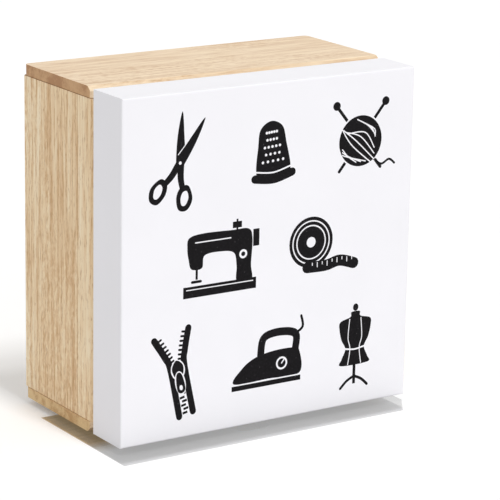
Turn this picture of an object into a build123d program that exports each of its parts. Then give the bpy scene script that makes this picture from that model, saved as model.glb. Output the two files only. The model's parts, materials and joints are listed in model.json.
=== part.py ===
from build123d import *
import math
import os

os.makedirs("parts", exist_ok=True)

# Button cabinet: a wooden case with a grid of small drawers, closed by a thick hollow front
# cover that pulls straight off. X is to the right, Y to the back and Z up. The origin is on
# the surface the cabinet stands on, under the middle of the whole object.

# Case, mm
case_width = 196.5
case_height = 201.2
case_depth = 80.5
board = 6.3  # thickness of the four outer boards
corner_chamfer = 4.2  # 45 degree bevel on the case's upright front edges
bevel_back = 7.0  # the level boards' outer front edges: bevel along the face
bevel_drop = 5.6  # and down the board's thickness
back_corner = 3.0  # rounding of the top and bottom boards' upright back corners
joint_bevel = 0.6  # fine bevel on the side boards where they meet the level boards
back_thickness = 4.0
back_recess = 1.5  # the back panel lies this far in

# Liner: its tongue stands out of the case and carries the cover
liner = 3.5
tongue = 8.0
tongue_clearance = 0.35
lead_in = 0.8  # bevel on the tongue's outer front edges

# Cover
cover_overhang = 0.25  # the cover is this much wider than the case on each side
cover_step = 0.6  # and this much lower at the top and the bottom
cover_depth = 31.2
face_thickness = 6.0
cover_round = 1.0  # rounding of the face's front edges
cover_gap = 0.2  # between the closed cover and the case
notch_width = 24.0  # finger notch in the lower rim, open to the case
notch_depth = 20.0
notch_corner = 8.0
block_leg = 12.0  # legs of the triangular corner blocks
block_clearance = 1.0  # between a corner block and the tongue

# Drawer grid
columns = 3
rows = 3
divider = 3.0
lap_clearance = 0.1

# Drawers
drawer_clearance = 0.45
drawer_set_back = 0.5  # drawer fronts lie this far behind the grid's front edges
drawer_rear_gap = 2.5
front_thickness = 5.0
front_round = 0.8
wall = 3.0
wall_height = 46.0
bottom_thickness = 2.5
bottom_lift = 2.0  # underside of the bottom above the walls' lower edges
groove = 1.2  # depth of the grooves that hold the bottom

# Knobs
knob_reach = 12.5
knob_radius = 6.0
knob_shoulder = 4.6
knob_neck = 3.4
neck_place = 3.4  # from the drawer front to the narrowest place
head_place = 8.4  # from the drawer front to the widest place
head_bulge = (5.6, 10.4)  # radius and place of a point between there and the crown
crown_rim = 4.4  # radius where the round crown starts
crown_rise = 0.9  # from there to the tip
spigot_radius = 2.5
spigot_clearance = 0.1

# Dowels, magnets and feet
dowel_radius = 1.5
dowel_clearance = 0.05
dowel_in_level_board = 4.0  # hole depth
dowel_in_side_board = 12.0  # hole depth
dowel_end_gap = 0.4
dowel_inset = 14.0  # from the case's front and back edges to the outer dowels
dowels_per_joint = 3
magnet_radius = 2.5
magnet_thickness = 2.0
magnet_clearance = 0.1
magnet_spread = 140.0  # height between the lower and the upper magnets
foot_height = 3.7
foot_radius = 5.0
foot_tip_radius = 4.0
foot_inset_x = 20.0
foot_inset_y = 10.0

# Planes of the whole object
front_y = -(case_depth + cover_depth) / 2
joint_y = front_y + cover_depth
back_y = joint_y + case_depth
case_mid_y = (joint_y + back_y) / 2
case_bottom = foot_height
case_top = case_bottom + case_height
middle_z = (case_bottom + case_top) / 2
case_side = case_width / 2

# Inside of the case, and the liner in it
inner_side = case_side - board
inner_bottom = case_bottom + board
inner_top = case_top - board
panel_back_y = back_y - back_recess
panel_front_y = panel_back_y - back_thickness
tongue_y = joint_y - tongue

# Grid of cells inside the liner
grid_side = inner_side - liner
grid_bottom = inner_bottom + liner
grid_top = inner_top - liner
grid_width = 2 * grid_side
grid_height = grid_top - grid_bottom
cell_width = (grid_width - (columns - 1) * divider) / columns
cell_height = (grid_height - (rows - 1) * divider) / rows
lap_y = (tongue_y + panel_front_y) / 2
divider_places = [
    -grid_side + (number + 1) * (cell_width + divider) - divider / 2 for number in range(columns - 1)
]
shelf_places = [
    grid_bottom + (number + 1) * (cell_height + divider) - divider / 2 for number in range(rows - 1)
]

# Cover
cover_side = case_side + cover_overhang
cover_bottom = case_bottom + cover_step
cover_top = case_top - cover_step
cover_inner_side = inner_side + tongue_clearance
cover_inner_bottom = inner_bottom - tongue_clearance
cover_inner_top = inner_top + tongue_clearance
face_back_y = front_y + face_thickness
rim_back_y = joint_y - cover_gap

# Magnets: pairs that face each other across the tongue's clearance
magnet_y = joint_y - tongue / 2
magnet_places = (middle_z - magnet_spread / 2, middle_z + magnet_spread / 2)
magnet_pocket = magnet_thickness + magnet_clearance

# Dowel rows along the depth of each corner joint
dowel_x = case_side - board / 2
dowel_step = (case_depth - 2 * dowel_inset) / (dowels_per_joint - 1)

# Drawers
drawer_front_y = tongue_y + drawer_set_back
drawer_back_y = panel_front_y - drawer_rear_gap
drawer_width = cell_width - 2 * drawer_clearance
drawer_height = cell_height - 2 * drawer_clearance
crown_radius = (crown_rim**2 + crown_rise**2) / (2 * crown_rise)
crown_angle = math.degrees(math.asin(crown_rim / crown_radius))


def slab(low, high, mode=Mode.ADD):
    """Add a box between two opposite corners to the open part."""
    with BuildSketch(Plane.XY.offset(low[2])) as outline:
        with Locations(((low[0] + high[0]) / 2, (low[1] + high[1]) / 2)):
            Rectangle(high[0] - low[0], high[1] - low[1])
    extrude(outline.sketch, amount=high[2] - low[2], mode=mode)


def cut(low, high):
    """Cut a box between two opposite corners out of the open part."""
    slab(low, high, mode=Mode.SUBTRACT)


def cut_dowel_holes(sides, start_z, depth):
    """Drill the dowel holes of the named sides up from start_z, or down with a negative depth."""
    with BuildSketch(Plane.XY.offset(start_z)) as holes:
        with Locations(*[(side * dowel_x, case_mid_y) for side in sides]):
            with GridLocations(0, dowel_step, 1, dowels_per_joint):
                Circle(dowel_radius + dowel_clearance)
    extrude(holes.sketch, amount=depth, mode=Mode.SUBTRACT)


# ---- Case boards ----


def level_board(outer_z, up, hole_depth):
    """Top or bottom board, from its outer face at outer_z inwards; up is 1 or -1."""
    inner_z = outer_z - up * board
    with BuildPart() as made:
        slab((-case_side, joint_y, min(inner_z, outer_z)), (case_side, back_y, max(inner_z, outer_z)))
        fillet(made.edges().filter_by(Axis.Z).group_by(Axis.Y)[-1], radius=back_corner)
        chamfer(made.edges().filter_by(Axis.Z).group_by(Axis.Y)[0], length=corner_chamfer)
        with BuildSketch(Plane.YZ) as bevel:
            with BuildLine():
                Polyline(
                    (joint_y, outer_z),
                    (joint_y + bevel_back, outer_z),
                    (joint_y, outer_z - up * bevel_drop),
                    close=True,
                )
            make_face()
        extrude(bevel.sketch, amount=case_side, both=True, mode=Mode.SUBTRACT)
        cut_dowel_holes((-1, 1), inner_z, up * hole_depth)
    return made


def side_board(side):
    """Left (-1) or right (1) board, between the level boards."""
    inner, outer = sorted((side * inner_side, side * case_side), key=abs)
    with BuildPart() as made:
        slab((min(inner, outer), joint_y, inner_bottom), (max(inner, outer), back_y, inner_top))
        outer_face = made.faces().filter_by(Axis.X).sort_by(Axis.X)[-1 if side > 0 else 0]
        chamfer(outer_face.edges().filter_by(Axis.Z).sort_by(Axis.Y)[0], length=corner_chamfer)
        outer_face = made.faces().filter_by(Axis.X).sort_by(Axis.X)[-1 if side > 0 else 0]
        chamfer(outer_face.edges().filter_by(Axis.Y), length=joint_bevel)
        cut_dowel_holes((side,), inner_bottom, dowel_in_side_board)
        cut_dowel_holes((side,), inner_top, -dowel_in_side_board)
    return made


top_board = level_board(case_top, 1, dowel_in_level_board)
top_board.part.label = "top_board"
export_step(top_board.part, "parts/top_board.step")

bottom_board = level_board(case_bottom, -1, dowel_in_level_board)
bottom_board.part.label = "bottom_board"
export_step(bottom_board.part, "parts/bottom_board.step")

left_side_board = side_board(-1)
left_side_board.part.label = "left_side_board"
export_step(left_side_board.part, "parts/left_side_board.step")

right_side_board = side_board(1)
right_side_board.part.label = "right_side_board"
export_step(right_side_board.part, "parts/right_side_board.step")

with BuildPart() as back_panel:
    slab((-inner_side, panel_front_y, inner_bottom), (inner_side, panel_back_y, inner_top))
back_panel.part.label = "back_panel"
export_step(back_panel.part, "parts/back_panel.step")

with BuildPart() as case_dowels:
    for joint_z, up, down in (
        (inner_top, dowel_in_level_board, dowel_in_side_board),
        (inner_bottom, dowel_in_side_board, dowel_in_level_board),
    ):
        with BuildSketch(Plane.XY.offset(joint_z - down + dowel_end_gap)):
            with Locations((-dowel_x, case_mid_y), (dowel_x, case_mid_y)):
                with GridLocations(0, dowel_step, 1, dowels_per_joint):
                    Circle(dowel_radius)
        extrude(amount=up + down - 2 * dowel_end_gap)
case_dowels.part.label = "case_dowels"
export_step(case_dowels.part, "parts/case_dowels.step")

with BuildPart() as feet:
    with Locations((0, case_mid_y, 0)):
        with GridLocations(case_width - 2 * foot_inset_x, case_depth - 2 * foot_inset_y, 2, 2):
            Cone(foot_tip_radius, foot_radius, foot_height, align=(Align.CENTER, Align.CENTER, Align.MIN))
feet.part.label = "feet"
export_step(feet.part, "parts/feet.step")

# ---- Liner ----


def level_liner(low_z, outer):
    """Upper or lower liner strip: outer is -1 where its outer face is up and 0 where it is down."""
    with BuildPart() as made:
        slab((-inner_side, tongue_y, low_z), (inner_side, panel_front_y, low_z + liner))
        lip_edge = made.edges().filter_by(Axis.X).group_by(Axis.Y)[0].sort_by(Axis.Z)[outer]
        chamfer(lip_edge, length=lead_in)
    return made


def side_liner(side):
    """Left (-1) or right (1) liner strip, with its two magnet pockets."""
    inner, outer = side * grid_side, side * inner_side
    with BuildPart() as made:
        slab((min(inner, outer), tongue_y, grid_bottom), (max(inner, outer), panel_front_y, grid_top))
        lip_edge = made.edges().filter_by(Axis.Z).group_by(Axis.Y)[0].sort_by(Axis.X)[-1 if side > 0 else 0]
        chamfer(lip_edge, length=lead_in)
        with BuildSketch(Plane.YZ.offset(outer)):
            with Locations(*[(magnet_y, place) for place in magnet_places]):
                Circle(magnet_radius + magnet_clearance)
        extrude(amount=-side * magnet_pocket, mode=Mode.SUBTRACT)
    return made


liner_top = level_liner(grid_top, -1)
liner_top.part.label = "liner_top"
export_step(liner_top.part, "parts/liner_top.step")

liner_bottom = level_liner(inner_bottom, 0)
liner_bottom.part.label = "liner_bottom"
export_step(liner_bottom.part, "parts/liner_bottom.step")

liner_left = side_liner(-1)
liner_left.part.label = "liner_left"
export_step(liner_left.part, "parts/liner_left.step")

liner_right = side_liner(1)
liner_right.part.label = "liner_right"
export_step(liner_right.part, "parts/liner_right.step")

# ---- Grid of shelves and dividers, half-lapped ----

for number, place in enumerate(shelf_places, start=1):
    with BuildPart() as shelf:
        slab((-grid_side, tongue_y, place - divider / 2), (grid_side, panel_front_y, place + divider / 2))
        for crossing in divider_places:
            half_slot = divider / 2 + lap_clearance
            cut(
                (crossing - half_slot, tongue_y, place - divider / 2),
                (crossing + half_slot, lap_y + lap_clearance, place + divider / 2),
            )
    shelf.part.label = f"shelf_{number}"
    export_step(shelf.part, f"parts/shelf_{number}.step")

for number, place in enumerate(divider_places, start=1):
    with BuildPart() as upright:
        slab((place - divider / 2, tongue_y, grid_bottom), (place + divider / 2, panel_front_y, grid_top))
        for crossing in shelf_places:
            half_slot = divider / 2 + lap_clearance
            cut(
                (place - divider / 2, lap_y - lap_clearance, crossing - half_slot),
                (place + divider / 2, panel_front_y, crossing + half_slot),
            )
    upright.part.label = f"divider_{number}"
    export_step(upright.part, f"parts/divider_{number}.step")

# ---- Cover ----

with BuildPart() as cover_face:
    slab((-cover_side, front_y, cover_bottom), (cover_side, face_back_y, cover_top))
    fillet(cover_face.faces().sort_by(Axis.Y)[0].edges(), radius=cover_round)
cover_face.part.label = "cover_face"
export_step(cover_face.part, "parts/cover_face.step")

with BuildPart() as cover_rim_top:
    slab((-cover_side, face_back_y, cover_inner_top), (cover_side, rim_back_y, cover_top))
cover_rim_top.part.label = "cover_rim_top"
export_step(cover_rim_top.part, "parts/cover_rim_top.step")

with BuildPart() as cover_rim_bottom:
    slab((-cover_side, face_back_y, cover_bottom), (cover_side, rim_back_y, cover_inner_bottom))
    cut(
        (-notch_width / 2, joint_y - notch_depth, cover_bottom),
        (notch_width / 2, rim_back_y, cover_inner_bottom),
    )
    notch_face = cover_rim_bottom.faces().filter_by(Axis.Y).group_by(Axis.Y)[1]
    fillet(notch_face.edges().filter_by(Axis.Z), radius=notch_corner)
cover_rim_bottom.part.label = "cover_rim_bottom"
export_step(cover_rim_bottom.part, "parts/cover_rim_bottom.step")


def side_rim(side):
    """Left (-1) or right (1) rim board, between the level ones, with its two magnet pockets."""
    inner, outer = side * cover_inner_side, side * cover_side
    with BuildPart() as made:
        slab(
            (min(inner, outer), face_back_y, cover_inner_bottom),
            (max(inner, outer), rim_back_y, cover_inner_top),
        )
        with BuildSketch(Plane.YZ.offset(inner)):
            with Locations(*[(magnet_y, place) for place in magnet_places]):
                Circle(magnet_radius + magnet_clearance)
        extrude(amount=side * magnet_pocket, mode=Mode.SUBTRACT)
    return made


cover_rim_left = side_rim(-1)
cover_rim_left.part.label = "cover_rim_left"
export_step(cover_rim_left.part, "parts/cover_rim_left.step")

cover_rim_right = side_rim(1)
cover_rim_right.part.label = "cover_rim_right"
export_step(cover_rim_right.part, "parts/cover_rim_right.step")

with BuildPart() as cover_corner_blocks:
    block_back_y = tongue_y - block_clearance
    with BuildSketch(Plane.XZ.offset(-block_back_y)):
        for side in (-1, 1):
            for corner_z, inward in ((cover_inner_bottom, 1), (cover_inner_top, -1)):
                with BuildLine():
                    Polyline(
                        (side * cover_inner_side, corner_z),
                        (side * (cover_inner_side - block_leg), corner_z),
                        (side * cover_inner_side, corner_z + inward * block_leg),
                        close=True,
                    )
                make_face()
    extrude(amount=block_back_y - face_back_y)
cover_corner_blocks.part.label = "cover_corner_blocks"
export_step(cover_corner_blocks.part, "parts/cover_corner_blocks.step")

# ---- Magnets ----


def magnets(face_x, inward):
    """Two discs on each side, sunk into the faces at +-face_x; inward is -1 towards the middle."""
    with BuildPart() as made:
        for side in (-1, 1):
            with BuildSketch(Plane.YZ.offset(side * (face_x + inward * magnet_clearance))):
                with Locations(*[(magnet_y, place) for place in magnet_places]):
                    Circle(magnet_radius)
            extrude(amount=side * inward * magnet_thickness)
    return made


case_magnets = magnets(inner_side, -1)
case_magnets.part.label = "case_magnets"
export_step(case_magnets.part, "parts/case_magnets.step")

cover_magnets = magnets(cover_inner_side, 1)
cover_magnets.part.label = "cover_magnets"
export_step(cover_magnets.part, "parts/cover_magnets.step")

# ---- Drawers, counted from the top left ----


def drawer_front(x, low_z):
    """Front board with the groove for the bottom and the hole for the knob's spigot."""
    half = drawer_width / 2
    back = drawer_front_y + front_thickness
    with BuildPart() as made:
        slab((x - half, drawer_front_y, low_z), (x + half, back, low_z + drawer_height))
        fillet(made.faces().sort_by(Axis.Y)[0].edges(), radius=front_round)
        cut(
            (x - half + wall - groove, back - groove, low_z + bottom_lift),
            (x + half - wall + groove, back, low_z + bottom_lift + bottom_thickness),
        )
        with BuildSketch(Plane.XZ.offset(-back)):
            with Locations((x, low_z + drawer_height / 2)):
                Circle(spigot_radius + spigot_clearance)
        extrude(amount=front_thickness, mode=Mode.SUBTRACT)
    return made


def drawer_walls(x, low_z):
    """Two side walls and, between them, the back wall, all grooved for the bottom."""
    half = drawer_width / 2
    front = drawer_front_y + front_thickness
    top = low_z + wall_height
    groove_low = low_z + bottom_lift
    groove_high = groove_low + bottom_thickness
    with BuildPart() as made:
        for side in (-1, 1):
            inner, outer = sorted((side * (half - wall), side * half))
            slab((x + inner, front, low_z), (x + outer, drawer_back_y, top))
        cut(
            (x - half + wall - groove, front, groove_low),
            (x + half - wall + groove, drawer_back_y - wall + groove, groove_high),
        )
    with BuildPart() as back_wall:
        slab((x - half + wall, drawer_back_y - wall, low_z), (x + half - wall, drawer_back_y, top))
        cut(
            (x - half + wall, drawer_back_y - wall, groove_low),
            (x + half - wall, drawer_back_y - wall + groove, groove_high),
        )
    return made, back_wall


def drawer_bottom(x, low_z):
    """Bottom board, held in the grooves on all four sides."""
    half = drawer_width / 2 - wall + groove
    front = drawer_front_y + front_thickness - groove
    with BuildPart() as made:
        slab(
            (x - half, front, low_z + bottom_lift),
            (x + half, drawer_back_y - wall + groove, low_z + bottom_lift + bottom_thickness),
        )
    return made


def drawer_knob(x, z):
    """Turned knob on a spigot that fills the drawer front's hole."""
    with BuildPart() as made:
        with BuildSketch(Plane((x, drawer_front_y, z), x_dir=(1, 0, 0), z_dir=(0, 0, 1))):
            with BuildLine():
                Polyline(
                    (0, -knob_reach),
                    (0, front_thickness),
                    (spigot_radius, front_thickness),
                    (spigot_radius, 0),
                    (knob_shoulder, 0),
                )
                Spline(
                    (knob_shoulder, 0),
                    (knob_neck, -neck_place),
                    (knob_radius, -head_place),
                    tangents=((0, -1), (0, -1)),
                )
                ThreePointArc(
                    (knob_radius, -head_place),
                    (head_bulge[0], -head_bulge[1]),
                    (crown_rim, crown_rise - knob_reach),
                )
                CenterArc((0, crown_radius - knob_reach), crown_radius, -90, crown_angle)
            make_face()
        revolve(axis=Axis((x, drawer_front_y, z), (0, 1, 0)))
    return made


for row in range(rows):
    for column in range(columns):
        name = f"drawer_{row * columns + column + 1}"
        cell_x = -grid_side + cell_width / 2 + column * (cell_width + divider)
        cell_top = grid_top - row * (cell_height + divider)
        floor_z = cell_top - cell_height + drawer_clearance

        front = drawer_front(cell_x, floor_z)
        front.part.label = f"{name}_front"
        export_step(front.part, f"parts/{name}_front.step")

        side_walls, back_wall = drawer_walls(cell_x, floor_z)
        walls = Compound(children=[*side_walls.part.solids(), back_wall.part.solid()])
        walls.label = f"{name}_walls"
        export_step(walls, f"parts/{name}_walls.step")

        bottom = drawer_bottom(cell_x, floor_z)
        bottom.part.label = f"{name}_bottom"
        export_step(bottom.part, f"parts/{name}_bottom.step")

        knob = drawer_knob(cell_x, floor_z + drawer_height / 2)
        knob.part.label = f"{name}_knob"
        export_step(knob.part, f"parts/{name}_knob.step")
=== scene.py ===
import json
import math

import bmesh
import bpy
from mathutils import Matrix, Vector
from mathutils.geometry import delaunay_2d_cdt

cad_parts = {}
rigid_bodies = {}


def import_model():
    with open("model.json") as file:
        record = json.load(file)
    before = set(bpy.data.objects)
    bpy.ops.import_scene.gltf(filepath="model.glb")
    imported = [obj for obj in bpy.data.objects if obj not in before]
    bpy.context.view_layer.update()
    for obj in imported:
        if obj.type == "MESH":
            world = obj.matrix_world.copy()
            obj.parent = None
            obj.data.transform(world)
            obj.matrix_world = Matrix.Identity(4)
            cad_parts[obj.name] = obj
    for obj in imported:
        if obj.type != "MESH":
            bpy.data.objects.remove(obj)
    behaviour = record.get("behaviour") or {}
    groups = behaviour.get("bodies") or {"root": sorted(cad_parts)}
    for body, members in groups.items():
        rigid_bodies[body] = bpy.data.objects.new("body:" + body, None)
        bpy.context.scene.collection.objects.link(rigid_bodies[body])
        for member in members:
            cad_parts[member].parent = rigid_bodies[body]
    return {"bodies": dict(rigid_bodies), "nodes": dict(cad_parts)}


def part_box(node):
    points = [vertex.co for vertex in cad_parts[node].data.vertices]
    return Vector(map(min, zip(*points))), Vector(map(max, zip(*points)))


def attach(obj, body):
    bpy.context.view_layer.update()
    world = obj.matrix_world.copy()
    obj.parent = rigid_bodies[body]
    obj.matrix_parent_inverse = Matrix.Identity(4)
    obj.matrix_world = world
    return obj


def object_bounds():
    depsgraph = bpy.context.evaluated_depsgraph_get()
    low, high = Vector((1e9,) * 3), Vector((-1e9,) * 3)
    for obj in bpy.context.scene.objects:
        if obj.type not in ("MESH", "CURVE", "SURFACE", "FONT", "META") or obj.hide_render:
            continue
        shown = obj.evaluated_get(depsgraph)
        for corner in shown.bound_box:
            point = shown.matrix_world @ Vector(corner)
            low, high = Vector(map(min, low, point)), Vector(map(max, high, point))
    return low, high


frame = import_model()
cad_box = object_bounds()

MM = 0.001
AXES = {"X": 0, "Y": 1, "Z": 2}


# ---- Small helpers for shader nodes ----


def new_material(name):
    """A material with a Principled shader; returns the material, its node tree and the shader."""
    material = bpy.data.materials.new(name)
    material.use_nodes = True
    tree = material.node_tree
    return material, tree, tree.nodes["Principled BSDF"]


def node(tree, kind, inputs=None, **settings):
    """Adds a shader node; inputs maps socket names or numbers to values or other sockets."""
    made = tree.nodes.new(kind)
    for key, value in settings.items():
        setattr(made, key, value)
    for key, value in (inputs or {}).items():
        if isinstance(value, bpy.types.NodeSocket):
            tree.links.new(value, made.inputs[key])
        else:
            made.inputs[key].default_value = value
    return made


def math_node(tree, operation, first, second=0.0):
    """The result socket of a Math node."""
    return node(tree, "ShaderNodeMath", {0: first, 1: second}, operation=operation).outputs[0]


def vector_node(tree, operation, first, second=(0.0, 0.0, 0.0)):
    """The result socket of a Vector Math node: one number for a length or a dot product."""
    made = node(tree, "ShaderNodeVectorMath", {0: first, 1: second}, operation=operation)
    return made.outputs["Value" if operation in ("LENGTH", "DOT_PRODUCT") else "Vector"]


def weighted(tree, pattern, middle, weight):
    """How far a pattern lies from its middle level, times a weight."""
    return math_node(tree, "MULTIPLY", math_node(tree, "SUBTRACT", pattern, middle), weight)


def ramp(tree, factor, stops, interpolation="LINEAR"):
    """The colour socket of a ramp; stops are (place, colour or grey level)."""
    made = node(tree, "ShaderNodeValToRGB", {0: factor})
    made.color_ramp.interpolation = interpolation
    elements = made.color_ramp.elements
    while len(elements) < len(stops):
        elements.new(1.0)
    for element, (place, colour) in zip(elements, stops):
        element.position = place
        element.color = (*colour, 1) if isinstance(colour, tuple) else (colour, colour, colour, 1)
    return made.outputs[0]


def mix(tree, blend, factor, first, second):
    """The colour socket of a Mix node."""
    made = node(tree, "ShaderNodeMix", data_type="RGBA", blend_type=blend)
    for socket, value in ((0, factor), (6, first), (7, second)):
        if isinstance(value, bpy.types.NodeSocket):
            tree.links.new(value, made.inputs[socket])
        elif socket == 0:
            made.inputs[0].default_value = value
        else:
            made.inputs[socket].default_value = (*value, 1)
    return made.outputs[2]


def object_place(tree):
    """The socket with the shaded point, in metres in its object's own frame."""
    return node(tree, "ShaderNodeTexCoord").outputs["Object"]


def noise(tree, vector, scale, detail, roughness=0.55, distortion=0.0):
    """The value socket of a noise texture."""
    inputs = {"Vector": vector, "Scale": scale, "Detail": detail, "Roughness": roughness}
    return node(tree, "ShaderNodeTexNoise", inputs | {"Distortion": distortion}).outputs[0]


def relief(tree, shader, strength, depth, height):
    """Gives the shader a fine relief from a height socket; depth is in mm."""
    bump = node(tree, "ShaderNodeBump", {"Strength": strength, "Distance": depth * MM, "Height": height})
    tree.links.new(bump.outputs[0], shader.inputs["Normal"])


def srgb(red, green, blue):
    """A colour given by its 0 to 255 screen values, as the linear values that shaders use."""
    linear = []
    for level in (red, green, blue):
        share = level / 255
        linear.append(share / 12.92 if share <= 0.04045 else ((share + 0.055) / 1.055) ** 2.4)
    return tuple(linear)


# ---- Wood ----

RAMP_REACH = 0.25  # metres across a board that its ramps cover, centred on the origin
ONE_STRIP = ((-125, 0.5, 1.0),)  # a board in one piece, from the ramps' start on
STRIP_SHIFT = 3.7  # metres along the pattern between a strip of tone 0 and one of tone 1
STRIP_WEIGHT = 0.5  # how strongly a strip's tone shifts its colour
SEAM_WIDTH = 0.5  # mm

# Noise drawn out along the grain: waves per metre along and across it, then the noise's detail,
# roughness and distortion
PATTERNS = {
    "bands": (6, 65, 2.0, 0.5, 1.2),
    "streaks": (17, 400, 3.0, 0.6, 0.6),
    "fibres": (70, 1200, 2.0, 0.6, 0.0),
    "specks": (190, 1400, 2.0, 0.6, 0.0),
    "curls": (210, 420, 2.0, 0.6, 0.6),
    "curly_places": (11, 26, 1.0, 0.5, 0.0),
}
WEIGHTS = {"bands": 0.6, "streaks": 1.25, "fibres": 0.75}  # how strongly each shifts the colour
CURL_MIDDLE, CURL_WEIGHT = 0.46, 0.9  # the same for the curls; the others' middle is 0.5
CURL_STOPS = ((0.50, 0.0), (0.62, 1.0))  # from straight to curly grain, over curly_places
CURL_GAIN = 0.25  # added to curly_places at height 0 where a board has a curly foot
TONE_PLACES = (0.22, 0.50, 0.80)  # levels at which the light, middle and dark tones lie

PORE_STREAKS = 0.35  # how strongly the dark streaks draw pores together
PORE_START, PORE_END = 0.73, 0.84  # levels between which the specks become pores
PORE_COVER = 0.6  # how strongly a pore covers the wood's colour
FIBRE_HEIGHT = 0.4  # height of the fibres against the depth of the pores
WOOD_RELIEF = (0.18, 0.12)  # strength, and depth in mm

MARK_HALF_LENGTH, MARK_HALF_WIDTH = 11, 2.2  # mm, of the brown streak
MARK_RAGGED = 0.9  # how strongly the fibres tear its outline
MARK_STOPS = ((0.55, 0.6), (1.35, 0.0))  # distance from its middle in halves of its size, and its cover

END_STOPS = ((0.80, 0.0), (0.92, 1.0))  # from side grain to end grain, by how far a face looks along it
BLOTCHES = (75.0, 5.0, 0.72)  # scale, detail and roughness of the noise on end grain
BLOTCH_PLACES = (0.40, 0.50, 0.58)  # TONE_PLACES for end grain

# Factors on the wood's own colour
SEAM_TINT = (0.84, 0.76, 0.66)
# Painted shade under the top board, not the wood's own colour
JOINT_SHADE_TINT = (0.42, 0.30, 0.20)
PORE_TINT = (0.70, 0.58, 0.44)
END_TINT = (0.73, 0.57, 0.40)
TOP_END_TINT = (0.66, 0.48, 0.31)
BOTTOM_END_TINT = (0.87, 0.77, 0.55)


def ramp_place(across):
    """Where a place across a board, in mm, lies on the board's ramps."""
    return across * MM / RAMP_REACH + 0.5


def seam_stops(seams):
    """Constant ramp stops for a thin band at each seam, in mm."""
    stops = [(0.0, 0.0)]
    for seam in seams:
        stops.append((ramp_place(seam - SEAM_WIDTH / 2), 1.0))
        stops.append((ramp_place(seam + SEAM_WIDTH / 2), 0.0))
    return stops


def mark_mask(tree, place, centre, grain, fibres):
    """The mask socket of a small ragged streak along the grain; its centre is in mm."""
    offset = vector_node(tree, "SUBTRACT", place, tuple(value * MM for value in centre))
    shrink = [1 / (MARK_HALF_WIDTH * MM)] * 3
    shrink[AXES[grain]] = 1 / (MARK_HALF_LENGTH * MM)
    distance = vector_node(tree, "LENGTH", vector_node(tree, "MULTIPLY", offset, shrink))
    ragged = math_node(tree, "ADD", distance, math_node(tree, "MULTIPLY", fibres, MARK_RAGGED))
    return ramp(tree, ragged, MARK_STOPS)


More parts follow.
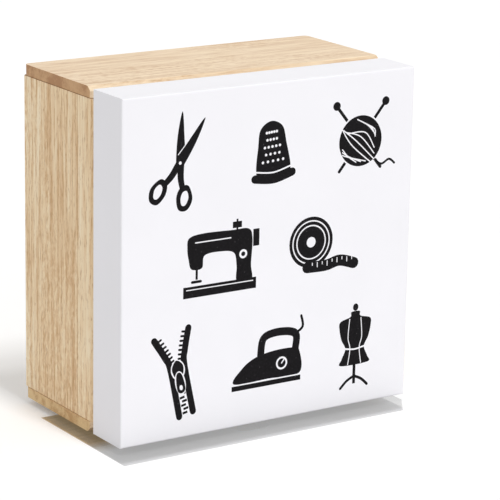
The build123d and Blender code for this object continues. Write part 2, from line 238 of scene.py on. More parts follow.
def wood(
    name, grain, across, tones, strips=ONE_STRIP, pores=1.0, roughness=0.5,
    mark=None, joint=None, curl_below=None, end_tint=END_TINT,
):
    """Pale hardwood, with its grain along one axis and glued from strips side by side along another.

    tones are the light, middle and dark colours. strips are (start in mm along across, tone from 0 to
    1, contrast of the grain). pores from 0 to 1 is how strongly open pores show. In mm, mark is the
    place of a small brown streak, joint the height above which a dark line of painted shade,
    where the next board's shadow falls, shows, and curl_below the height under which the grain is more
    curly. end_tint is the colour of the end grain against the faces.
    """
    material, tree, shader = new_material(name)
    coordinates = node(tree, "ShaderNodeTexCoord").outputs
    place = coordinates["Object"]
    parts = node(tree, "ShaderNodeSeparateXYZ", {0: place}).outputs
    (third,) = AXES.keys() - {grain, across}
    along, side, thick = (parts[AXES[axis]] for axis in (grain, across, third))
    upward = parts[AXES["Z"]]

    # Each strip is cut from another plank: its own tone, and its own stretch of the pattern
    share = math_node(tree, "ADD", math_node(tree, "DIVIDE", side, RAMP_REACH), 0.5)  # as ramp_place
    strip_tones = [(ramp_place(start), tone) for start, tone, _ in strips]
    strip_tone = ramp(tree, share, strip_tones, "CONSTANT")
    # A ramp holds levels up to 1 and a contrast may be higher, so the ramp holds half of it
    half_contrasts = [(ramp_place(start), contrast / 2) for start, _, contrast in strips]
    contrast = math_node(tree, "MULTIPLY", ramp(tree, share, half_contrasts, "CONSTANT"), 2.0)
    shifted = math_node(tree, "ADD", along, math_node(tree, "MULTIPLY", strip_tone, STRIP_SHIFT))
    plank = node(tree, "ShaderNodeCombineXYZ", {0: shifted, 1: side, 2: thick}).outputs[0]

    pattern = {}
    for kind, (length_scale, width_scale, *settings) in PATTERNS.items():
        scaled = vector_node(tree, "MULTIPLY", plank, (length_scale, width_scale, width_scale))
        pattern[kind] = noise(tree, scaled, 1.0, *settings)

    curly_places = pattern["curly_places"]
    if curl_below:
        height = math_node(tree, "DIVIDE", upward, curl_below * MM)
        depth = math_node(tree, "MAXIMUM", math_node(tree, "SUBTRACT", 1.0, height), 0.0)
        curly_places = math_node(tree, "ADD", curly_places, math_node(tree, "MULTIPLY", depth, CURL_GAIN))
    curly = ramp(tree, curly_places, CURL_STOPS)

    waves = math_node(tree, "MULTIPLY", weighted(tree, pattern["curls"], CURL_MIDDLE, CURL_WEIGHT), curly)
    for kind, weight in WEIGHTS.items():
        waves = math_node(tree, "ADD", waves, weighted(tree, pattern[kind], 0.5, weight))
    tone = weighted(tree, strip_tone, 0.5, STRIP_WEIGHT)
    level = math_node(tree, "ADD", math_node(tree, "MULTIPLY", waves, contrast), tone)
    level = math_node(tree, "ADD", level, 0.5)
    colour = ramp(tree, level, list(zip(TONE_PLACES, tones)))

    # Open pores: short brown dashes, closer together where the streaks are dark
    streaked = math_node(tree, "MULTIPLY", pattern["streaks"], PORE_STREAKS)
    pore_level = math_node(tree, "ADD", pattern["specks"], streaked)
    pore_mask = ramp(tree, pore_level, ((PORE_START, 0.0), (PORE_END, pores)))
    _, _, dark = tones
    pore_colour = tuple(channel * factor for channel, factor in zip(dark, PORE_TINT))
    colour = mix(tree, "MIX", math_node(tree, "MULTIPLY", pore_mask, PORE_COVER), colour, pore_colour)

    if len(strips) > 1:
        seam = ramp(tree, share, seam_stops([start for start, _, _ in strips[1:]]), "CONSTANT")
        colour = mix(tree, "MULTIPLY", seam, colour, SEAM_TINT)
    # Painted shade: a dark line at the board's top, where the next board's shadow falls
    if joint:
        shade_line_mask = math_node(tree, "GREATER_THAN", upward, joint * MM)
        colour = mix(tree, "MULTIPLY", shade_line_mask, colour, JOINT_SHADE_TINT)
    if mark:
        colour = mix(tree, "MIX", mark_mask(tree, place, mark, grain, pattern["fibres"]), colour, pore_colour)

    # End grain drinks the finish: darker, blotchy, without streaks
    normal = node(tree, "ShaderNodeSeparateXYZ", {0: coordinates["Normal"]}).outputs
    end_mask = ramp(tree, math_node(tree, "ABSOLUTE", normal[AXES[grain]]), END_STOPS)
    end_colour = ramp(tree, noise(tree, place, *BLOTCHES), list(zip(BLOTCH_PLACES, tones)))
    end_colour = mix(tree, "MULTIPLY", 1.0, end_colour, end_tint)
    colour = mix(tree, "MIX", end_mask, colour, end_colour)
    tree.links.new(colour, shader.inputs["Base Color"])

    shader.inputs["Roughness"].default_value = roughness
    raised = math_node(tree, "MULTIPLY", pattern["fibres"], FIBRE_HEIGHT)
    relief(tree, shader, *WOOD_RELIEF, math_node(tree, "SUBTRACT", raised, pore_mask))
    return material


CASE_TONES = (srgb(255, 235, 200), srgb(245, 216, 173), srgb(220, 179, 129))
TOP_TONES = (srgb(249, 227, 195), srgb(236, 210, 176), srgb(214, 178, 137))
INNER_TONES = (srgb(243, 225, 197), srgb(234, 213, 181), srgb(220, 194, 157))
KNOB_TONES = (srgb(216, 180, 136), srgb(202, 162, 116), srgb(180, 138, 94))
SIDE_STRIPS = ((-125, 0.42, 0.9), (-7, 0.58, 1.0), (35.5, 0.38, 1.35))
LEVEL_STRIPS = ((-125, 0.42, 1.0), (14, 0.55, 0.9))
BACK_STRIPS = ((-125, 0.5, 0.8), (60, 0.3, 0.7))
SIDE_CURL = 95  # mm above the origin
TOP_MARK = (-78, 46, 204.9)  # mm
# Painted shade: the side boards' top is darkened where the top board's shadow falls
JOINT_SHADE_LINE = 0.5  # mm at the top of the side boards that are dark, under the top board
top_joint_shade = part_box("top_board")[0].z / MM - JOINT_SHADE_LINE

side_wood = wood(
    "case_wood_upright", "Z", "Y", CASE_TONES, SIDE_STRIPS, joint=top_joint_shade, curl_below=SIDE_CURL,
)
top_wood = wood(
    "case_wood_top", "X", "Y", TOP_TONES, LEVEL_STRIPS, pores=0.3, mark=TOP_MARK, end_tint=TOP_END_TINT,
)
bottom_wood = wood(
    "case_wood_bottom", "X", "Y", TOP_TONES, LEVEL_STRIPS, pores=0.5, end_tint=BOTTOM_END_TINT,
)
inner_level = wood("inner_wood_level", "X", "Y", INNER_TONES, pores=0.3, roughness=0.6)
inner_upright = wood("inner_wood_upright", "Z", "Y", INNER_TONES, pores=0.3, roughness=0.6)
inner_back = wood("inner_wood_back", "X", "Z", INNER_TONES, BACK_STRIPS, pores=0.3, roughness=0.6)
drawer_level = wood("drawer_wood_level", "X", "Z", INNER_TONES, pores=0.3)
drawer_deep = wood("drawer_wood_deep", "Y", "Z", INNER_TONES, pores=0.3)
drawer_flat = wood("drawer_wood_flat", "Y", "X", INNER_TONES, pores=0.3)
knob_wood = wood("knob_wood", "Y", "X", KNOB_TONES, pores=0.5, roughness=0.4)


# ---- Lacquer, ink, metal and rubber ----


def speckled(name, colours, scale, detail, roughness, grit=0.55):
    """A material whose colour follows a fine noise, as does its roughness if that is given as stops.

    Returns the material, its node tree and its shader. grit is the roughness of the noise itself.
    """
    material, tree, shader = new_material(name)
    pattern = noise(tree, object_place(tree), scale, detail, grit)
    tree.links.new(ramp(tree, pattern, colours), shader.inputs["Base Color"])
    if isinstance(roughness, tuple):
        tree.links.new(ramp(tree, pattern, roughness), shader.inputs["Roughness"])
    else:
        shader.inputs["Roughness"].default_value = roughness
    return material, tree, shader


def lacquer():
    """Sprayed satin white lacquer: a faint cool white with a soft orange-peel ripple."""
    colours = ((0.3, srgb(246, 245, 249)), (0.7, srgb(248, 247, 251)))
    material, tree, shader = speckled("white_lacquer", colours, scale=22.0, detail=2.0, roughness=0.38)
    ripple = noise(tree, object_place(tree), scale=900.0, detail=2.0)
    relief(tree, shader, strength=0.06, depth=0.05, height=ripple)
    return material


def ink():
    """Thin matt black screen print with small dusty specks."""
    colours = ((0.35, srgb(14, 12, 14)), (0.69, srgb(22, 20, 23)), (0.76, srgb(82, 78, 80)))
    material, _, shader = speckled("print_ink", colours, scale=700.0, detail=2.0, roughness=0.7, grit=0.5)
    shader.inputs["Specular IOR Level"].default_value = 0.12
    return material


def metal():
    """Nickel-plated magnet face, turned."""
    colours = ((0.3, srgb(196, 197, 200)), (0.7, srgb(218, 219, 222)))
    wear = ((0.3, 0.22), (0.7, 0.36))
    material, _, shader = speckled("magnet_metal", colours, scale=700.0, detail=3.0, roughness=wear)
    shader.inputs["Metallic"].default_value = 1.0
    return material


def rubber():
    """Matt moulded bumper."""
    colours = ((0.3, srgb(38, 38, 39)), (0.7, srgb(52, 52, 53)))
    material, _, _ = speckled("foot_rubber", colours, scale=400.0, detail=3.0, roughness=0.75)
    return material


white = lacquer()
black = ink()
nickel = metal()
bumper = rubber()


# ---- Materials on the CAD nodes ----

BEVEL_SEGMENTS = 2
BEVEL_ANGLE = math.radians(30)  # edges that turn by less stay as they are
OUTER_EDGE, INNER_EDGE, WALL_EDGE, FOOT_EDGE = 0.35, 0.2, 0.3, 0.4  # mm of rounding

# Material, rounding of the edges in mm, names of the nodes
DRESSING = (
    (side_wood, OUTER_EDGE, ("left_side_board", "right_side_board")),
    (top_wood, OUTER_EDGE, ("top_board",)),
    (bottom_wood, OUTER_EDGE, ("bottom_board",)),
    (inner_level, INNER_EDGE, ("liner_top", "liner_bottom", "shelf_1", "shelf_2")),
    (inner_upright, INNER_EDGE, ("liner_left", "liner_right", "divider_1", "divider_2")),
    (inner_back, 0, ("back_panel",)),
    (inner_upright, 0, ("case_dowels", "cover_corner_blocks")),
    (bumper, FOOT_EDGE, ("feet",)),
    (white, 0, ("cover_face", "cover_rim_top", "cover_rim_bottom", "cover_rim_left", "cover_rim_right")),
    (nickel, 0, ("case_magnets", "cover_magnets")),
)
DRAWER_DRESSING = (
    (drawer_level, 0, "front"), (drawer_deep, WALL_EDGE, "walls"), (drawer_flat, 0, "bottom"),
    (knob_wood, 0, "knob"),
)


def dress(name, material, edge):
    """Gives a CAD node its material, and its sharp edges a small rounding where edge isn't 0 mm."""
    piece = frame["nodes"][name]
    piece.data.materials.clear()
    piece.data.materials.append(material)
    if edge:
        rounding = piece.modifiers.new("edge_rounding", "BEVEL")
        rounding.width = edge * MM
        rounding.segments = BEVEL_SEGMENTS
        rounding.limit_method = "ANGLE"
        rounding.angle_limit = BEVEL_ANGLE
        rounding.harden_normals = True


for piece_material, piece_edge, piece_names in DRESSING:
    for piece_name in piece_names:
        dress(piece_name, piece_material, piece_edge)
for drawer in sorted(body for body in frame["bodies"] if body.startswith("drawer_")):
    for piece_material, piece_edge, drawer_part in DRAWER_DRESSING:
        dress(f"{drawer}_{drawer_part}", piece_material, piece_edge)


# ---- Print: black sewing figures, drawn in mm round their own centres, X right and Z up ----

CURVE_STEPS = 8  # of a smooth line, from one of its points to the next
CAP_STEPS = 6  # of the round end of a stroke


def disc(x, z, radius, height=None, steps=40):
    """A circle, or an oval with its own half height."""
    angles = [2 * math.pi * step / steps for step in range(steps)]
    return [(x + radius * math.cos(a), z + (height or radius) * math.sin(a)) for a in angles]


def curve(points, closed=True):
    """A smooth line through the points (Catmull-Rom), closed or open."""
    count = len(points)
    spans = count if closed else count - 1
    line = []
    for span in range(spans):
        places = [span + k for k in (-1, 0, 1, 2)]
        places = [k % count if closed else min(max(k, 0), count - 1) for k in places]
        a, b, c, d = (Vector(points[k]) for k in places)
        for step in range(CURVE_STEPS):
            t = step / CURVE_STEPS
            square, cube = 2 * a - 5 * b + 4 * c - d, 3 * b - a - 3 * c + d
            spot = 0.5 * (2 * b + (c - a) * t + square * t**2 + cube * t**3)
            line.append(tuple(spot))
    if not closed:
        line.append(tuple(points[-1]))
    return line


def stroke(points, width, end_width=None, smooth=True):
    """The outline of a line drawn with a round pen; the width runs from width to end_width."""
    line = [Vector(point) for point in (curve(points, closed=False) if smooth else points)]
    last = width if end_width is None else end_width
    halves = [(width + (last - width) * k / (len(line) - 1)) / 2 for k in range(len(line))]
    left, right = [], []
    for k, spot in enumerate(line):
        ahead = line[min(k + 1, len(line) - 1)] - line[max(k - 1, 0)]
        normal = Vector((-ahead.y, ahead.x)).normalized()
        left.append(tuple(spot + normal * halves[k]))
        right.append(tuple(spot - normal * halves[k]))

    def cap(centre, start, half):
        """The inner points of a half circle round an end of the line."""
        angle = math.atan2(start[1] - centre.y, start[0] - centre.x)
        turns = [angle - math.pi * step / CAP_STEPS for step in range(1, CAP_STEPS)]
        return [(centre.x + half * math.cos(a), centre.y + half * math.sin(a)) for a in turns]

    return left + cap(line[-1], left[-1], halves[-1]) + right[::-1] + cap(line[0], right[0], halves[0])


def bar(low_x, low_z, high_x, high_z):
    """An upright rectangle."""
    return [(low_x, low_z), (high_x, low_z), (high_x, high_z), (low_x, high_z)]


def as_drawn(points):
    """The outline itself, for use beside mirrored."""
    return points


def mirrored(points):
    """The same outline, left for right."""
    return [(-x, z) for x, z in reversed(points)]


def placed(layers, scale, degrees=0):
    """All layers of a figure, scaled and turned about its centre."""
    c, s = scale * math.cos(math.radians(degrees)), scale * math.sin(math.radians(degrees))
    return [(kind, [(x * c - z * s, x * s + z * c) for x, z in points]) for kind, points in layers]


# A figure is a list of layers from the bottom up. Each is an outline that is filled with ink, or
# left bare whatever lies below it.
INK, BARE = True, False


def scissors():
    """Open scissors, points up."""
    blade = curve([
        (-2.6, -3.0), (-1.9, 3.0), (2.2, 14.0), (7.4, 26.0), (6.2, 13.0), (2.6, -1.0), (0.2, -5.0),
    ])
    shank = stroke([(-0.6, -1.0), (-2.8, -8.0), (-5.2, -12.5)], 4.2, 3.4)
    ring = curve([(-9.0, -11.2), (-4.4, -13.2), (-3.6, -19.0), (-7.0, -25.0), (-12.2, -24.0), (-13.6, -17.5)])
    hole = curve([(-8.9, -14.2), (-6.6, -15.4), (-6.4, -19.2), (-8.2, -22.2), (-10.4, -21.6), (-11.0, -17.4)])
    gap = stroke([(-2.6, 3.4), (0.1, 9.4)], 0.5, smooth=False)
    layers = []
    for flip in (as_drawn, mirrored):
        layers += [(INK, flip(ring)), (INK, flip(shank))]
    for flip in (as_drawn, mirrored):
        layers += [(BARE, flip(hole)), (INK, flip(blade))]
    return layers + [(BARE, gap), (BARE, disc(0, -0.6, 0.9))]


def thimble():
    """Thimble with rows of dimples."""
    side = [(8.3, -10.2), (7.0, 3.0), (5.4, 9.8)]
    body = curve([(-x, z) for x, z in side] + [(0, 12.6)] + side[::-1] + [(0, -11.4)])
    layers = [
        (INK, body),
        (INK, stroke([(-9.4, -11.0), (0, -12.6), (9.4, -11.0)], 3.6)),
        (BARE, stroke([(-8.6, -8.2), (0, -9.6), (8.6, -8.2)], 0.7)),
    ]
    for row in range(5):
        z = -4.6 + 3.1 * row
        half = 5.9 - 0.75 * row
        count, start = (5, 0) if row % 2 == 0 else (4, 0.5)
        for k in range(count):
            x = half * (2 * (k + start) / 4 - 1) * 0.86
            layers.append((BARE, disc(x, z, 0.62, steps=12)))
    return layers


def yarn():
    """Ball of yarn with two knitting needles through it."""
    layers = []
    for side in (-1, 1):
        needle = stroke([(side * -13, -16), (side * 15, 18)], 1.7, smooth=False)
        layers += [(INK, needle), (INK, disc(side * 15.4, 18.6, 2.3))]
    loose_end = stroke([(8.5, -11.2), (13.5, -14.6), (18.5, -12.6), (22.0, -15.0)], 1.2)
    layers += [(BARE, disc(0, -1, 14.2)), (INK, disc(0, -1, 13.4)), (INK, loose_end)]
    threads = []
    for k in range(4):
        bow = 3.4 * k - 6.6
        threads.append([(-9.6 + bow * 0.35, 6.4 - k), (bow * 0.8, 1 + bow * 0.6), (8.8, -8.6 + bow * 0.9)])
    for k in range(3):
        bow = 3.2 * k
        middle = (4.4 + bow * 0.7, 6.8 - bow * 0.4)
        threads.append([(-2.2 + bow, 10.4 - bow * 0.5), middle, (9.2, 1.8 - bow * 0.2)])
        bow = 3.0 * k
        threads.append([(-11.2, -4.6 - bow * 0.5), (-7.8 + bow * 0.4, -8.4 - bow * 0.2), (-2.6 + bow, -12.0)])
    return layers + [(BARE, stroke(thread, 0.65)) for thread in threads]


def machine():
    """Sewing machine seen from the front."""
    arm = curve([
        (-18.0, 8.5), (-17.0, 13.6), (-9.0, 15.0), (6.0, 14.6), (15.4, 14.2), (17.6, 9.0),
        (17.0, -3.0), (17.4, -10.5), (9.4, -10.5), (9.0, -3.0), (7.4, 3.6), (0.0, 5.2),
        (-8.6, 4.4), (-10.0, -1.4), (-15.6, -1.4), (-17.2, 3.0),
    ])
    bed = [(INK, bar(-20.0, -15.0, 20.0, -9.6)), (BARE, bar(-18.4, -11.4, 18.4, -10.9))]
    needle = (INK, bar(-13.4, -6.6, -12.2, 0.0))
    presser = (INK, stroke([(-15.2, -7.6), (-10.6, -7.6)], 1.3, smooth=False))
    hand_wheel = (INK, bar(18.0, 5.4, 21.4, 13.6))
    spool = [(INK, bar(8.6, 14.0, 9.6, 19.6)), (INK, bar(6.6, 15.4, 11.6, 18.4))]
    dial = [(BARE, disc(12.6, 2.4, 2.2)), (INK, disc(12.6, 2.4, 1.1))]
    line = (BARE, stroke([(-13.6, 11.0), (5.6, 11.0)], 0.6, smooth=False))
    return [(INK, arm), *bed, needle, presser, hand_wheel, *spool, *dial, line]


def tape():
    """Rolled measuring tape with plain ticks."""
    rings = ((INK, 12.6), (BARE, 10.9), (INK, 10.2), (BARE, 8.6), (INK, 7.9), (BARE, 2.6))
    layers = [(kind, disc(-5, 3, radius)) for kind, radius in rings]
    layers.append((INK, stroke([(-7.0, -9.4), (4.0, -9.6), (12.0, -8.2), (20.5, -10.6)], 5.6)))
    for k in range(9):
        x = -4.0 + 2.9 * k
        length = 2.6 if k % 2 else 1.5
        base = -7.4 if x < 6 else -6.3 - 0.12 * abs(x - 12)
        layers.append((BARE, bar(x - 0.24, base - length, x + 0.24, base)))
    return layers


def zipper():
    """Half-open zip with its pull."""
    layers = []
    band = stroke([(4.3, -24.0), (4.3, 3.2), (6.2, 11.0), (10.6, 22.0)], 3.8)
    edge = stroke([(1.3, -24.0), (1.3, 4.0), (3.2, 12.0), (7.6, 23.0)], 1.0)
    for flip in (as_drawn, mirrored):
        layers += [(INK, flip(band)), (BARE, flip(edge))]
    for k in range(12):  # closed teeth
        z = -23.0 + 2.2 * k
        shift = 0.5 if k % 2 else -0.5
        layers.append((INK, bar(-1.5 + shift, z - 0.65, 1.5 + shift, z + 0.65)))
    for k in range(7):  # open teeth, on both edges
        rise = 7.2 + 2.3 * k
        out = 1.9 + 0.062 * (rise - 3.0) ** 1.56
        for side in (-1, 1):
            tooth = [(side * (out - 0.9), rise + 0.3), (side * (out + 1.3), rise - 0.4)]
            layers.append((INK, stroke(tooth, 1.2, smooth=False)))
    slider = curve([(-3.4, 3.4), (0, 7.0), (3.4, 3.4), (2.6, -1.6), (0, -2.8), (-2.6, -1.6)])
    pull = curve([(-1.5, -1.0), (1.5, -1.0), (2.5, -9.4), (0, -11.8), (-2.5, -9.4)])
    return layers + [
        (BARE, disc(0, 1.6, 4.3, 5.6)),
        (INK, slider),
        (BARE, disc(0, -6.0, 3.2, 6.8)),
        (INK, pull),
        (BARE, disc(0, -8.6, 1.0, 1.5)),
    ]


def iron():
    """Pressing iron seen from the side."""
    body = curve([
        (-20.5, -11.4), (-16.0, -4.2), (-8.0, 0.6), (3.0, 2.6),
        (14.4, 2.6), (18.6, 0.6), (18.8, -11.4), (0.0, -11.6),
    ])
    grip = stroke([(-4.8, 1.2), (-3.4, 9.6), (3.0, 12.0), (12.4, 11.4), (16.6, 8.6), (16.0, 1.0)], 4.2)
    sole = [(INK, bar(-21.8, -15.2, 19.6, -12.6)), (BARE, bar(-22, -12.6, 20, -11.9))]
    dial = [(BARE, disc(8.0, -4.6, 3.4)), (INK, disc(8.0, -4.6, 2.4))]
    pointer = (BARE, stroke([(8.0, -4.6), (9.4, -2.9)], 0.7, smooth=False))
    cord = (INK, stroke([(16.6, 10.0), (20.4, 13.0), (19.4, 18.6)], 1.4))
    return [(INK, body), (INK, grip), *sole, *dial, pointer, cord]


def form():
    """Dressmaker's form on its stand."""
    side_line = [
        (2.6, 16.2), (3.2, 13.6), (9.6, 11.6), (10.0, 7.4),
        (8.6, 1.6), (6.0, -3.6), (8.2, -9.0), (8.6, -12.6),
    ]
    torso = curve([(-x, z) for x, z in side_line] + side_line[::-1])
    layers = [(INK, torso), (INK, disc(0, 18.6, 1.7, 2.0)), (INK, bar(-0.9, -23.4, 0.9, -12.0))]
    for side in (-1, 1):
        leg = stroke([(0, -19.2), (side * 4.6, -21.4), (side * 8.6, -25.0)], 1.5)
        seam = stroke([(side * 3.6, 12.4), (side * 4.4, 2.4), (side * 3.0, -3.8), (side * 4.2, -12.4)], 0.55)
        layers += [(INK, leg), (BARE, seam)]
    return layers + [(BARE, stroke([(-6.6, -3.4), (0, -4.4), (6.6, -3.4)], 0.9))]


# ---- Laying the print on the cover ----

INK_HEIGHT = 0.03  # mm that the print stands on the lacquer
INK_DEPTH = 0.02  # mm that it reaches into it, so that no gap shows
MERGE = 1e-5  # mm; corners of the outlines closer than this become one
STRAIGHT = 0.01  # radians; the print loses the corners that turn by less
face_low, face_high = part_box("cover_face")


def new_object(name, shape):
    """Puts a bmesh into the scene as an object."""
    mesh = bpy.data.meshes.new(name)
    shape.to_mesh(mesh)
    shape.free()
    made = bpy.data.objects.new(name, mesh)
    bpy.context.scene.collection.objects.link(made)
    return made


def inside(spot, outline):
    """Whether a point lies in a closed outline, by counting the edges to its right."""
    x, z = spot
    hit = False
    for (x1, z1), (x2, z2) in zip(outline, outline[1:] + outline[:1]):
        if (z1 > z) != (z2 > z) and x < (x2 - x1) * (z - z1) / (z2 - z1) + x1:
            hit = not hit
    return hit


def painted(layers):
    """Paints the layers over each other; returns the corners in mm, and the faces that stay black."""
    spots, edges, boxes = [], [], []
    for _, outline in layers:
        first = len(spots)
        spots += [Vector(point) for point in outline]
        edges += [(first + k, first + (k + 1) % len(outline)) for k in range(len(outline))]
        across, upward = zip(*outline)
        boxes.append((min(across), max(across), min(upward), max(upward)))
    corners, _, faces, _, _, _ = delaunay_2d_cdt(spots, edges, [], 0, MERGE)
    black_faces = []
    for face in faces:
        middle = sum((corners[k] for k in face), Vector((0, 0))) / len(face)
        # The topmost layer over a face decides
        for (kind, outline), (x1, x2, z1, z2) in zip(reversed(layers), reversed(boxes)):
            if x1 <= middle.x <= x2 and z1 <= middle.y <= z2 and inside(middle, outline):
                if kind == INK:
                    black_faces.append(face)
                break
    return corners, black_faces


def print_figure(name, layers, centre_x, centre_z):
    """Lays a figure's ink on the cover's front, as a thin closed sheet; its centre is in mm."""
    corners, black_faces = painted(layers)
    back_y = face_low.y + INK_DEPTH * MM
    shape = bmesh.new()
    spots = {}
    for number in {number for face in black_faces for number in face}:
        x, z = (centre_x + corners[number].x) * MM, (centre_z + corners[number].y) * MM
        spots[number] = shape.verts.new((x, back_y, z))
    for face in black_faces:
        shape.faces.new([spots[number] for number in face])
    bmesh.ops.dissolve_limit(shape, angle_limit=STRAIGHT, verts=shape.verts, edges=shape.edges)
    raised = bmesh.ops.extrude_face_region(shape, geom=shape.faces[:], use_keep_orig=True)
    front = [element for element in raised["geom"] if isinstance(element, bmesh.types.BMVert)]
    bmesh.ops.translate(shape, verts=front, vec=(0, -(INK_HEIGHT + INK_DEPTH) * MM, 0))
    bmesh.ops.triangulate(shape, faces=shape.faces)
    bmesh.ops.recalc_face_normals(shape, faces=shape.faces)
    figure = new_object(name, shape)
    figure.data.materials.append(black)
    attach(figure, "cover")


middle_z = (face_low.z + face_high.z) / 2 / MM
ROW_STEP = 61.0  # mm from the cover's middle up and down to the outer rows
OUTER_STEP = 61.0  # mm from the middle to the sides, in the rows of three
INNER_STEP = 34.0  # and in the row of two
FIGURES = (
    ("print_scissors", placed(scissors(), 1.05, -18), -OUTER_STEP, ROW_STEP),
    ("print_thimble", placed(thimble(), 1.35, 4), 0.0, ROW_STEP),
    ("print_yarn", placed(yarn(), 1.12), OUTER_STEP, ROW_STEP),
    ("print_machine", placed(machine(), 1.22), -INNER_STEP, 0.0),
    ("print_tape", placed(tape(), 1.2), INNER_STEP, 0.0),
    ("print_zipper", placed(zipper(), 1.08, 12), -OUTER_STEP, -ROW_STEP),
    ("print_iron", placed(iron(), 1.15), 0.0, -ROW_STEP),
    ("print_form", placed(form(), 1.12), OUTER_STEP, -ROW_STEP),
)
for figure_name, figure_layers, offset_x, offset_z in FIGURES:
    print_figure(figure_name, figure_layers, offset_x, middle_z + offset_z)


# ---- Camera, floor, world and lamps ----

CAMERA_PLACE = Vector((-776.2, -1211.2, 480.2)) * MM
CAMERA_YAW = math.radians(33.41)  # to the right of straight ahead
CAMERA_PITCH = math.radians(15.02)  # downward
CAMERA_ROLL = math.radians(1.01)
CAMERA_LENS = 181.9  # mm
SENSOR = 36.0  # mm
CAMERA_CLIP = (0.05, 60.0)  # metres
CAMERA_LEVEL = Vector((math.cos(CAMERA_YAW), -math.sin(CAMERA_YAW), 0))  # level, to the camera's right

FLOOR_RADIUS = 9.0  # metres
FLOOR_SIDES = 96
FLOOR_WHITE, FLOOR_ROUGHNESS = 0.94, 0.8
FLOOR_LIFT = 0.14  # camera light that takes the lit floor up to white and leaves its shadows grey
# How far the polished part reaches past the object's box, in metres
MIRROR_FRONT, MIRROR_BACK, MIRROR_LEFT, MIRROR_RIGHT = 14.2 * MM, -30 * MM, 5.8 * MM, 0.0
MIRROR_CORNER = 111.5 * MM  # from the origin to the slanting cut over its right front corner
MIRROR_ROUGHNESS = 0.04
MIRROR_STOPS = ((-0.2, 0.9), (0.6, 0.08), (4.0, 0.0))  # mm past its edge, and how polished it is there
# Painted reflection and shade: the band's mirror is tinted, and the camera sees a glow in it, by place
WARM_REFLECTION_PAINT, GREY_REFLECTION_PAINT = (0.55, 0.48, 0.36), (0.36, 0.36, 0.36)  # below the wood, below the front
WARM_PAINTED_GLOW, GREY_PAINTED_GLOW = (0.125, 0.095, 0.05), (0.35, 0.35, 0.35)  # camera light in each
GREY_START = -20 * MM  # from the box's front to the middle of the change from warm to grey
GREY_STOPS = ((-8.0, 0.0), (8.0, 1.0))  # mm past there, and how grey it is
STEP_REACH = 20.0  # mm that such a ramp covers, half of them on each side of its zero

AMBIENT = 0.54  # the world's light on surfaces, against the white that the camera sees
# Lamps: sideways angle from the front (to the right), elevations, spread, strength of the whole row
KEY = (5.0, (61.0, 67.0, 74.0), 7.0, 1.3)  # a tall narrow light high up in front
FILL = (5.0, (12.0,), 30.0, 0.42)  # a faint broad one low down in front


def floor_material():
    """Matt white, but polished close to the object's foot, which it mirrors with a painted tint and glow."""
    material, tree, shader = new_material("floor_white")
    shader.inputs["Base Color"].default_value = (FLOOR_WHITE, FLOOR_WHITE, FLOOR_WHITE, 1)
    shader.inputs["Roughness"].default_value = FLOOR_ROUGHNESS
    shader.inputs["Specular IOR Level"].default_value = 0.0
    place = object_place(tree)
    parts = node(tree, "ShaderNodeSeparateXYZ", {0: place}).outputs

    def beyond(axis, side, reach):
        """How far a floor point lies past the object's box on one side, less the reach, in metres."""
        number = AXES[axis]
        edge = cad_box[1][number] + reach  # the box lies evenly round the origin
        return math_node(tree, "SUBTRACT", math_node(tree, "MULTIPLY", parts[number], side), edge)

    def stepped(distance, stops):
        """A ramp over a distance; the stops are (distance in mm, level)."""
        share = math_node(tree, "ADD", math_node(tree, "DIVIDE", distance, STEP_REACH * MM), 0.5)
        return ramp(tree, share, [(step / STEP_REACH + 0.5, level) for step, level in stops])

    outside = -1.0  # further inside than any point is
    for axis, side, reach in (
        ("Y", -1, MIRROR_FRONT), ("Y", 1, MIRROR_BACK), ("X", -1, MIRROR_LEFT), ("X", 1, MIRROR_RIGHT),
    ):
        outside = math_node(tree, "MAXIMUM", beyond(axis, side, reach), outside)
    cut = math_node(tree, "SUBTRACT", vector_node(tree, "DOT_PRODUCT", place, CAMERA_LEVEL), MIRROR_CORNER)
    outside = math_node(tree, "MAXIMUM", cut, outside)
    polish = stepped(outside, MIRROR_STOPS)

    # Painted reflection: below the white front the mirror is tinted a pale grey, and below the wood
    # a darker, warmer one
    grey = stepped(beyond("Y", -1, GREY_START), GREY_STOPS)
    painted_reflection_tint = mix(tree, "MIX", grey, WARM_REFLECTION_PAINT, GREY_REFLECTION_PAINT)
    mirror_inputs = {"Color": painted_reflection_tint, "Roughness": MIRROR_ROUGHNESS}
    mirror = node(tree, "ShaderNodeBsdfAnisotropic", mirror_inputs)
    surface = node(tree, "ShaderNodeMixShader", {0: polish, 1: shader.outputs[0], 2: mirror.outputs[0]})
    rays = node(tree, "ShaderNodeLightPath").outputs
    # Camera-only glow: the floor's lift to white outside the band, and painted shade colours inside it
    lift = mix(tree, "MIX", polish, (FLOOR_LIFT,) * 3, mix(tree, "MIX", grey, WARM_PAINTED_GLOW, GREY_PAINTED_GLOW))
    glow = node(tree, "ShaderNodeEmission", {"Color": lift, "Strength": rays["Is Camera Ray"]})
    both = node(tree, "ShaderNodeAddShader", {0: surface.outputs[0], 1: glow.outputs[0]})
    tree.links.new(both.outputs[0], tree.nodes["Material Output"].inputs["Surface"])
    return material


def make_floor():
    """A round floor under the object."""
    shape = bmesh.new()
    bmesh.ops.create_circle(shape, cap_ends=True, segments=FLOOR_SIDES, radius=FLOOR_RADIUS)
    floor = new_object("floor", shape)
    floor.data.materials.append(floor_material())


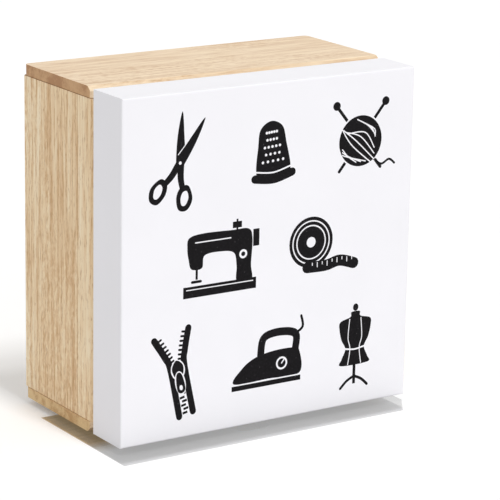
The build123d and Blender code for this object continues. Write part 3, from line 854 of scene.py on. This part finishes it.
def make_world():
    """Even soft light from all round; the camera and reflections see plain white."""
    world = bpy.data.worlds.new("studio")
    bpy.context.scene.world = world
    world.use_nodes = True
    tree = world.node_tree
    background = tree.nodes["Background"]
    background.inputs["Color"].default_value = (1, 1, 1, 1)
    rays = node(tree, "ShaderNodeLightPath").outputs
    seen = math_node(tree, "ADD", rays["Is Camera Ray"], rays["Is Glossy Ray"])
    seen = math_node(tree, "MINIMUM", math_node(tree, "ADD", seen, rays["Is Transmission Ray"]), 1.0)
    strength = math_node(tree, "ADD", math_node(tree, "MULTIPLY", seen, 1.0 - AMBIENT), AMBIENT)
    tree.links.new(strength, background.inputs["Strength"])


def make_lamps(name, azimuth, elevations, spread, strength):
    """A row of suns above each other that share one strength, for a shadow with a soft far end."""
    for number, elevation in enumerate(elevations):
        lamp = bpy.data.lights.new(f"{name}_{number}", "SUN")
        lamp.energy = strength / len(elevations)
        lamp.angle = math.radians(spread)
        holder = bpy.data.objects.new(lamp.name, lamp)
        holder.rotation_euler = (math.radians(90 - elevation), 0, math.radians(azimuth))
        bpy.context.scene.collection.objects.link(holder)


def make_camera():
    """The main viewpoint: to the front left, a little above, through a long lens."""
    lens = bpy.data.cameras.new("camera")
    lens.lens = CAMERA_LENS
    lens.sensor_width = SENSOR
    lens.clip_start, lens.clip_end = CAMERA_CLIP
    camera = bpy.data.objects.new("camera", lens)
    forward = Vector((
        math.sin(CAMERA_YAW) * math.cos(CAMERA_PITCH),
        math.cos(CAMERA_YAW) * math.cos(CAMERA_PITCH),
        -math.sin(CAMERA_PITCH),
    ))
    rise = CAMERA_LEVEL.cross(forward)
    right = CAMERA_LEVEL * math.cos(CAMERA_ROLL) + rise * math.sin(CAMERA_ROLL)
    up = rise * math.cos(CAMERA_ROLL) - CAMERA_LEVEL * math.sin(CAMERA_ROLL)
    turn = Matrix((right, up, -forward)).transposed().to_4x4()
    camera.matrix_world = Matrix.Translation(CAMERA_PLACE) @ turn
    bpy.context.scene.collection.objects.link(camera)
    bpy.context.scene.camera = camera


make_floor()
make_world()
make_lamps("key", *KEY)
make_lamps("fill", *FILL)
make_camera()
bpy.context.scene.view_settings.view_transform = "Standard"
